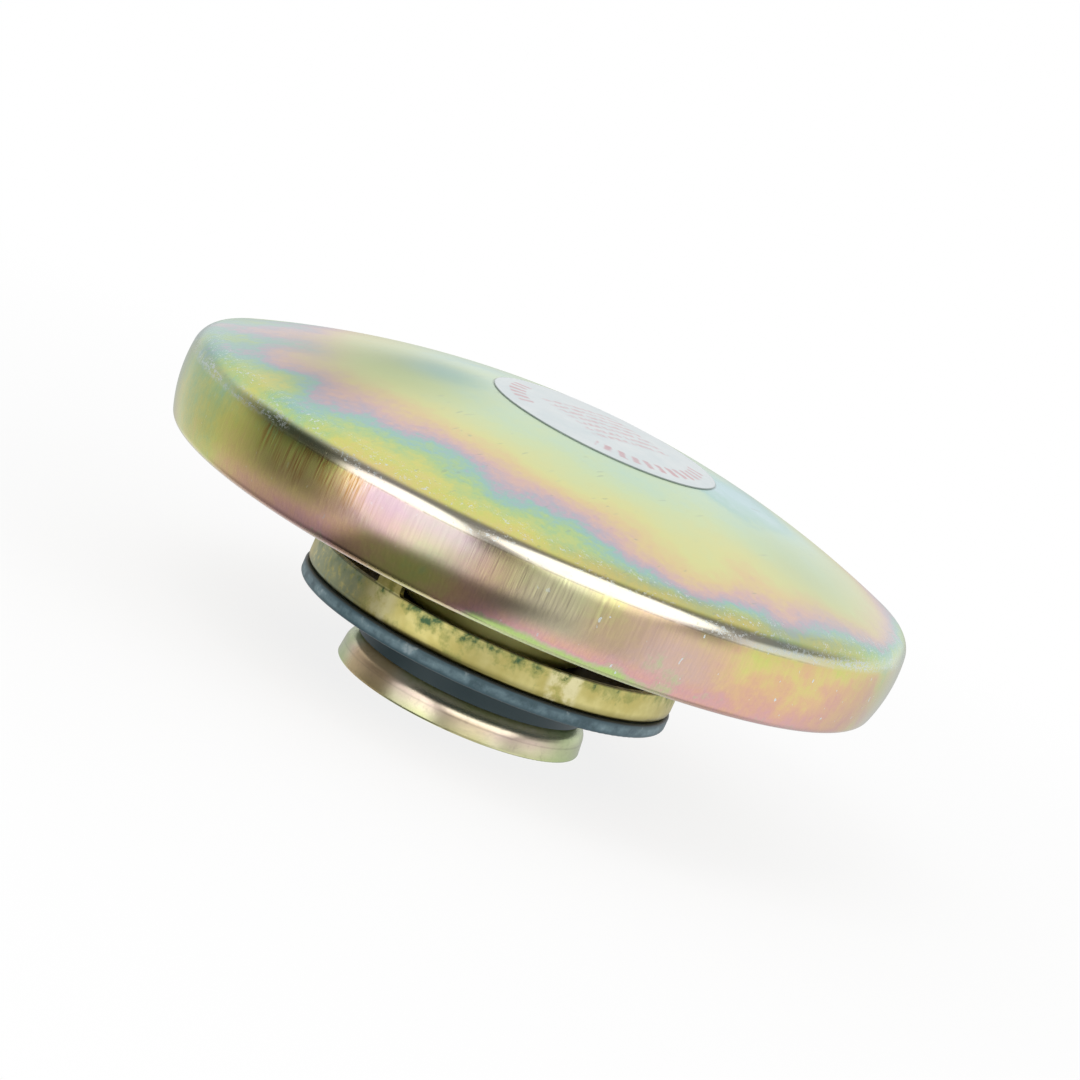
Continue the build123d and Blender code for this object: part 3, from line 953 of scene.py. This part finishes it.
def makeMetalFinish(name, light, dark, rough):
    # plain plated or turned metal with a cloudy tone
    look = metalLook
    material, f, here = newFinish(name)
    cloudy = f.noise(here, *look["cloudy"])
    colour = f.mix(cloudy, paint(*dark), paint(*light))
    relief = f.relief(f.noise(here, *look["grain"]), look["reliefDepth"])
    surface(f, colour, (cloudy - 0.5) * look["roughWarp"] + rough, 1.0, relief)
    return material


def dress(piece, material):
    # a CAD node keeps its slots and gets the material in each; a new piece gets one slot
    if piece.material_slots:
        for slot in piece.material_slots:
            slot.material = material
    else:
        piece.data.materials.append(material)
    return piece


# Outer shell: one sheet turned about the axis, drawn again with fine rings

shellForm = {
    "sheet": 1.0,
    "domeRadius": 144.6,
    "shoulderRadius": 3.56,
    "bulgeRadius": 21.0,
    "widestAboveRim": 7.6,
    "rollRadius": 1.6,
    "rollEnd": 0.5,
    "segments": 288,
    # points on the dome, the shoulder, the bulge and the roll
    "outerCounts": (90, 26, 60, 24),
    "innerCounts": (40, 12, 22, 14),
}


def circlesMeet(centreA, radiusA, centreB, radiusB):
    # the crossing of two circles that is further from the axis
    a, b = np.array(centreA), np.array(centreB)
    apart = np.linalg.norm(b - a)
    along = (radiusA**2 - radiusB**2 + apart**2) / (2 * apart)
    aside = math.sqrt(radiusA**2 - along**2)
    way = (b - a) / apart
    middle = a + way * along
    normal = np.array([way[1], -way[0]])
    return max(tuple(middle + aside * normal), tuple(middle - aside * normal))


def makeShell():
    form = shellForm
    rim, apex = heights("outer_shell")
    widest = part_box("outer_shell")[1].x / mm
    dome, shoulder = form["domeRadius"], form["shoulderRadius"]
    bulge, roll = form["bulgeRadius"], form["rollRadius"]
    domeCentre = (0.0, apex - dome)
    bulgeCentre = (widest - bulge, rim + form["widestAboveRim"])
    shoulderCentre = circlesMeet(domeCentre, dome - shoulder, bulgeCentre, bulge - shoulder)
    rollHeight = rim + roll
    rollReach = math.sqrt((bulge - roll) ** 2 - (bulgeCentre[1] - rollHeight) ** 2)
    rollCentre = (bulgeCentre[0] + rollReach, rollHeight)
    toShoulder = slope(domeCentre, shoulderCentre)
    toBulge = slope(bulgeCentre, shoulderCentre)
    toRoll = slope(bulgeCentre, rollCentre)

    def side(inset, counts):
        # from the top's middle to the end of the rolled edge, inset from the sheet's outer side
        domeCount, shoulderCount, bulgeCount, rollCount = counts
        end = np.array([rollCentre[0] - roll + inset, rollCentre[1]])
        return join(
            arc(domeCentre, dome - inset, 90, toShoulder, domeCount),
            arc(shoulderCentre, shoulder - inset, toShoulder, toBulge, shoulderCount),
            arc(bulgeCentre, bulge - inset, toBulge, toRoll, bulgeCount),
            arc(rollCentre, roll - inset, toRoll, -180, rollCount),
            line(end, end + (0, form["rollEnd"])),
        )

    outer, inner = side(0.0, form["outerCounts"]), side(form["sheet"], form["innerCounts"])
    shell = lathe("shell_skin", join(outer, inner[::-1]), form["segments"])
    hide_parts("outer_shell")
    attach(dress(shell, makeShellFinish()), "cap")


makeShell()
print("shell made")


# Label: a thin disc bent over the dome, turned about its own centre

def makeLabel():
    look, ball = labelLook, shellForm["domeRadius"]
    apex = heights("outer_shell")[1]
    cx, cy = look["centre"]
    radius, top, under, bevel = look["radius"], look["thickness"], look["clearance"], look["bevel"]
    # distance from the label's centre and height above the dome, from the top's middle outwards
    # and back underneath
    inner = 0.5
    outline = join(
        line((inner, top), (radius - 2 * bevel, top), 40),
        line((radius - bevel, top), (radius, top - bevel)),
        line((radius, 2 * bevel), (radius, under)),
        line((radius, under), (inner, under), 12),
    )

    def onDome(x, y, above):
        # z = apex - R + sqrt((R + above)^2 - x^2 - y^2)
        return np.stack([x, y, apex - ball + np.sqrt((ball + above) ** 2 - x**2 - y**2)], -1)

    t = np.linspace(0, 2 * np.pi, look["segments"], endpoint=False)
    reach, above = outline[:, :1], outline[:, 1:]
    rings = onDome(cx + reach * np.cos(t), cy + reach * np.sin(t), above).reshape(-1, 3)
    middles = onDome(np.full(2, cx), np.full(2, cy), np.array([top, under]))
    points = np.concatenate([rings, middles])
    label = addPiece("label_sticker", points, closedFaces(len(outline), look["segments"]))
    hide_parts("label_disc")
    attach(dress(label, makeLabelFinish()), "cap")


makeLabel()
print("label made")


# Springs

springForms = {
    "main_coil": {
        "node": "main_spring", "joint": "plunger_slide", "body": "cap", "fixedAtTop": True,
        "wire": 2.0, "radius": 11.3, "turns": 6.0,
    },
    "valve_coil": {
        "node": "valve_spring", "joint": "vent_slide", "body": "plunger", "fixedAtTop": False,
        "wire": 0.3, "radius": 2.2, "turns": 5.0,
    },
}
coilGrid = {"stepsPerTurn": 40, "sides": 16, "sharpAngle": 50}


def coil(name, form, low, high):
    # spring: the centre line is (R cos t, R sin t, low + rise t), and the tube round it is
    # centre + wire / 2 (cos u outwards + sin u across), cut flat at low and high
    radius, turns, sides = form["radius"], form["turns"], coilGrid["sides"]
    count = int(turns * coilGrid["stepsPerTurn"])
    t = np.linspace(0, 2 * np.pi * turns, count)[:, None]
    u = np.linspace(0, 2 * np.pi, sides, endpoint=False)[None, :, None]
    rise = (high - low) / (2 * np.pi * turns)
    outwards = np.stack([np.cos(t), np.sin(t), 0 * t], -1)
    across = np.stack([rise * np.sin(t), -rise * np.cos(t), radius + 0 * t], -1) / math.hypot(radius, rise)
    centre = np.stack([radius * np.cos(t), radius * np.sin(t), low + rise * t], -1)
    tube = centre + form["wire"] / 2 * (np.cos(u) * outwards + np.sin(u) * across)
    points = tube.reshape(-1, 3)
    points[:, 2] = np.clip(points[:, 2], low, high)
    last = (count - 1) * sides
    ends = [tuple(range(sides)), tuple(range(last + sides - 1, last - 1, -1))]
    return addPiece(name, points, gridFaces(count, sides) + ends, coilGrid["sharpAngle"])


def makeSpring(name, form):
    low, high = heights(form["node"])
    spring = coil(name, form, low, high)
    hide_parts(form["node"])
    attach(dress(spring, springSteel), form["body"])
    travel = joints[form["joint"]]["range_m"][1] / mm
    1 - travel / (high - low)
    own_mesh(spring)


springSteel = makeMetalFinish("spring steel", (150, 150, 148), (104, 104, 104), 0.32)
for name, form in springForms.items():
    makeSpring(name, form)
print("springs made")


# CAD nodes that keep their own shape

plainZinc = makeMetalFinish("plain zinc", (206, 208, 206), (164, 168, 168), 0.28)
brass = makeMetalFinish("turned brass", (222, 190, 112), (184, 146, 76), 0.26)
rubber = makeRubberFinish()
dressed = {
    "locking_plate": makePlateFinish("yellow plate, locking plate", film=54.0, spread=12.0, rough=0.24),
    "spring_housing": makePlateFinish("yellow plate, housing", film=53.0, spread=10.0, rough=0.24),
    # painted light: the spring cup lies in the shell's shade, and its colour is brightened
    "spring_cup": makePlateFinish("yellow plate, spring cup", film=51.5, spread=4.0, rough=0.5, shade=1.9),
    "seal_cup": makeSealCupFinish(),
    "retainer_pan": makePanFinish(),
    "seal": rubber,
    "valve_facing": rubber,
    "plunger_tube": plainZinc,
    "clamp_washer": plainZinc,
    "housing_rivet_1": plainZinc,
    "housing_rivet_2": plainZinc,
    "housing_rivet_3": plainZinc,
    "vent_screen": brass,
    "valve_guide": brass,
    "valve_stem": brass,
    "valve_plate": brass,
    "valve_clip": springSteel,
}
for node, material in dressed.items():
    dress(frame["nodes"][node], material)
print("CAD nodes dressed")


# Studio: what a shiny surface sees is drawn by direction, and the camera sees white

# Directions are in degrees: turn is 0 towards the camera and grows to its right, rise is 0 at the
# horizon and grows upwards
studioLook = {
    "diffuse": 0.72,
    "back": 1.0,
    # dark surround of the windows, which ends higher up at the right
    "surround": {"centre": (10, 2), "half": (112, 55), "soft": 0.17, "rise": (-8, 2), "level": 0.26},
    "surroundEnd": {"turn": (60, 74), "rise": (17, 8), "less": 0.85},
    # dim areas: the corner at the left of the windows, the wall beyond it and the table below it
    "dimLeft": [
        {"turn": (-100, -56, 16), "rise": (-28, 24, 9), "level": 0.24},
        {"turn": (-152, -100, 14), "rise": (-26, 16, 8), "level": 0.7},
        {"turn": (-140, -62, 14), "rise": (-20, -40), "level": 0.4},
    ],
    # dim wall at the far right, and what is straight behind the object
    "farRight": {"turns": ((104, 160), (180, 173)), "rise": (-70, -4, 6), "less": 0.34},
    "behind": {"y": (0.8, 0.95), "rise": (-20, 1, 5), "less": 0.4},
    # the table at both sides, which is less bright than the wall
    "table": {"turns": ((-140, -35, 15), (100, 145, 15)), "rise": (-36, -58), "less": 0.45},
    # wall between the right window and the table
    "wall": {"turn": (-8, 44, 8), "rise": (-36, -3, 5), "level": 0.73},
    # dark patch on the table, whose edges, as (slope, turn at rise 0), lean to the left further down
    "patch": {
        "left": (1.3, -13.0),
        "leftSoft": (-10, 8),
        "right": (0.65, 31.2),
        "rightSoft": (11, -11),
        "rise": (-19, -29),
        "level": 0.2,
    },
    # windows, the first of which is dimmer below, with a dark bar between them
    "window": 1.75,
    "first": {"centre": (-36, 3), "half": (22.5, 26), "soft": 0.18},
    "firstBelow": {"rise": (4, -16), "less": 0.4},
    "second": {"centre": (26.5, 20), "half": (37.5, 23), "soft": 0.12},
    "bar": {"lean": 0.2, "turn": (-15.5, -9.5, 2.5), "rise": (-6, 1), "less": 0.75},
}


def studioLevel(f, direction):
    # brightness of the studio along a direction
    look = studioLook
    x, y, z = f.split(direction)
    turn, rise = f.turn(x, y), f.calc("ARCSINE", z) * (180 / math.pi)

    def oval(form):
        # 1 inside an ellipse of directions, with a soft edge
        across, up = (
            (value - centre) / half
            for value, centre, half in zip((turn, rise), form["centre"], form["half"])
        )
        return f.step(f.calc("SQRT", across * across + up * up), 1 + form["soft"], 1 - form["soft"])

    def area(form):
        return f.within(turn, form["turn"]) * f.within(rise, form["rise"])

    surround, end = look["surround"], look["surroundEnd"]
    dark = oval(surround) * f.step(rise, *surround["rise"]) * (1 - area(end) * end["less"])
    level = (1 - dark * (1 - surround["level"])) * look["back"]
    for form in (*look["dimLeft"], look["wall"]):
        level = level * (1 - area(form) * (1 - form["level"]))

    farRight, behind, table, patch = look["farRight"], look["behind"], look["table"], look["patch"]
    right = f.step(turn, *farRight["turns"][0]) * f.step(turn, *farRight["turns"][1])
    right = right * f.within(rise, farRight["rise"]) * farRight["less"]
    back = f.step(y, *behind["y"]) * f.within(rise, behind["rise"]) * behind["less"]
    level = level * (1 - f.larger(right, back))
    sides = f.within(turn, table["turns"][0]) + f.within(turn, table["turns"][1])
    level = level * (1 - f.step(rise, *table["rise"]) * sides * table["less"])
    (leftSlope, leftAt), (rightSlope, rightAt) = patch["left"], patch["right"]
    dark = f.step(turn - (rise * leftSlope + leftAt), *patch["leftSoft"])
    dark = dark * f.step(turn - (rise * rightSlope + rightAt), *patch["rightSoft"])
    level = level * (1 - dark * f.step(rise, *patch["rise"]) * (1 - patch["level"]))

    below, bar = look["firstBelow"], look["bar"]
    dark = f.within(turn + rise * bar["lean"], bar["turn"]) * f.step(rise, *bar["rise"]) * bar["less"]
    first = oval(look["first"]) * (1 - f.step(rise, *below["rise"]) * below["less"])
    lit = f.larger(first, oval(look["second"])) * (1 - dark)
    return level + lit * (look["window"] - level)


def rays(f, kind):
    # 1 for rays of this kind, 0 for others
    return Wire(f, f.node("ShaderNodeLightPath").socket.node.outputs[kind])


def makeWorld():
    world = bpy.data.worlds.new("studio")
    bpy.context.scene.world = world
    world.use_nodes = True
    f = Finish(world.node_tree)
    direction = f.node("ShaderNodeTexCoord", output="Generated")
    camera, glossy = rays(f, "Is Camera Ray"), rays(f, "Is Glossy Ray")
    others = 1 - glossy - camera
    strength = glossy * studioLevel(f, direction) + camera + others * studioLook["diffuse"]
    shader = f.node("ShaderNodeBackground", inputs={"Color": (1, 1, 1, 1), "Strength": strength})
    f.close(shader, "ShaderNodeOutputWorld")


floorLook = {
    "half": 3000.0,
    "below": 0.02,
    "fade": (70, 260),
    "whiteShares": (0.83, 1.0),
    "matt": (0.94, 0.94, 0.94, 1),
}


def makeFloor():
    # a pale floor that keeps the shadow near the object and is plain white further off;
    # reflections look past it, at the studio
    look = floorLook
    corners = np.array([[-1, -1, 0], [1, -1, 0], [1, 1, 0], [-1, 1, 0]]) * look["half"]
    floor = addPiece("floor", corners - (0, 0, look["below"]), [(0, 1, 2, 3)])
    material, f, here = newFinish("pale floor")
    far = f.step(f.distance(here, (0, 0, 0)), *look["fade"])
    white = f.node("ShaderNodeEmission", inputs={"Color": (1, 1, 1, 1), "Strength": 1.0})
    matt = f.node("ShaderNodeBsdfDiffuse", inputs={"Color": look["matt"]})
    share = f.fade(far, *look["whiteShares"]) * rays(f, "Is Camera Ray")
    f.close(f.node("ShaderNodeMixShader", inputs={0: share, 1: matt, 2: white}))
    dress(floor, material)
    floor.visible_glossy = False


lamps = {
    "key light": {"place": (-300, -420, 620), "size": 420, "power": 1.6},
    "fill light": {"place": (480, -260, 380), "size": 420, "power": 0.6},
}
lampTarget = (0, 0, 25.0)


def makeLamp(name, look):
    lamp = bpy.data.lights.new(name, "AREA")
    lamp.size = look["size"] * mm
    lamp.energy = look["power"]
    holder = bpy.data.objects.new(name, lamp)
    bpy.context.scene.collection.objects.link(holder)
    away = np.array(look["place"]) - lampTarget
    away = away / np.linalg.norm(away)
    sideways = np.cross((0, 0, 1), away)
    sideways /= np.linalg.norm(sideways)
    upwards = np.cross(away, sideways)
    turn = Matrix(np.stack([sideways, upwards, away], -1).tolist()).to_4x4()
    holder.matrix_world = Matrix.Translation([value * mm for value in look["place"]]) @ turn
    holder.visible_glossy = False


makeWorld()
makeFloor()
for name, look in lamps.items():
    makeLamp(name, look)


# Camera, fitted to the photograph: a long lens from the front, a little above, and rolled

cameraLook = {
    "place": (0.0, -424.0, 99.65),
    "pitch": 9.92,
    "yaw": -math.degrees(math.atan(8.1 / 3142.0)),
    "roll": 24.4,
    "lens": 104.73,
    "sensor": 36.0,
}


def makeCamera():
    look = cameraLook
    data = bpy.data.cameras.new("photo camera")
    data.lens, data.sensor_width = look["lens"], look["sensor"]
    camera = bpy.data.objects.new("photo camera", data)
    bpy.context.scene.collection.objects.link(camera)
    turn = Matrix.Rotation(math.radians(look["yaw"]), 4, "Z")
    turn @= Matrix.Rotation(math.radians(90 - look["pitch"]), 4, "X")
    turn @= Matrix.Rotation(math.radians(look["roll"]), 4, "Z")
    camera.matrix_world = Matrix.Translation([value * mm for value in look["place"]]) @ turn
    bpy.context.scene.camera = camera


makeCamera()
bpy.context.scene.view_settings.view_transform = "Standard"
print("studio made")
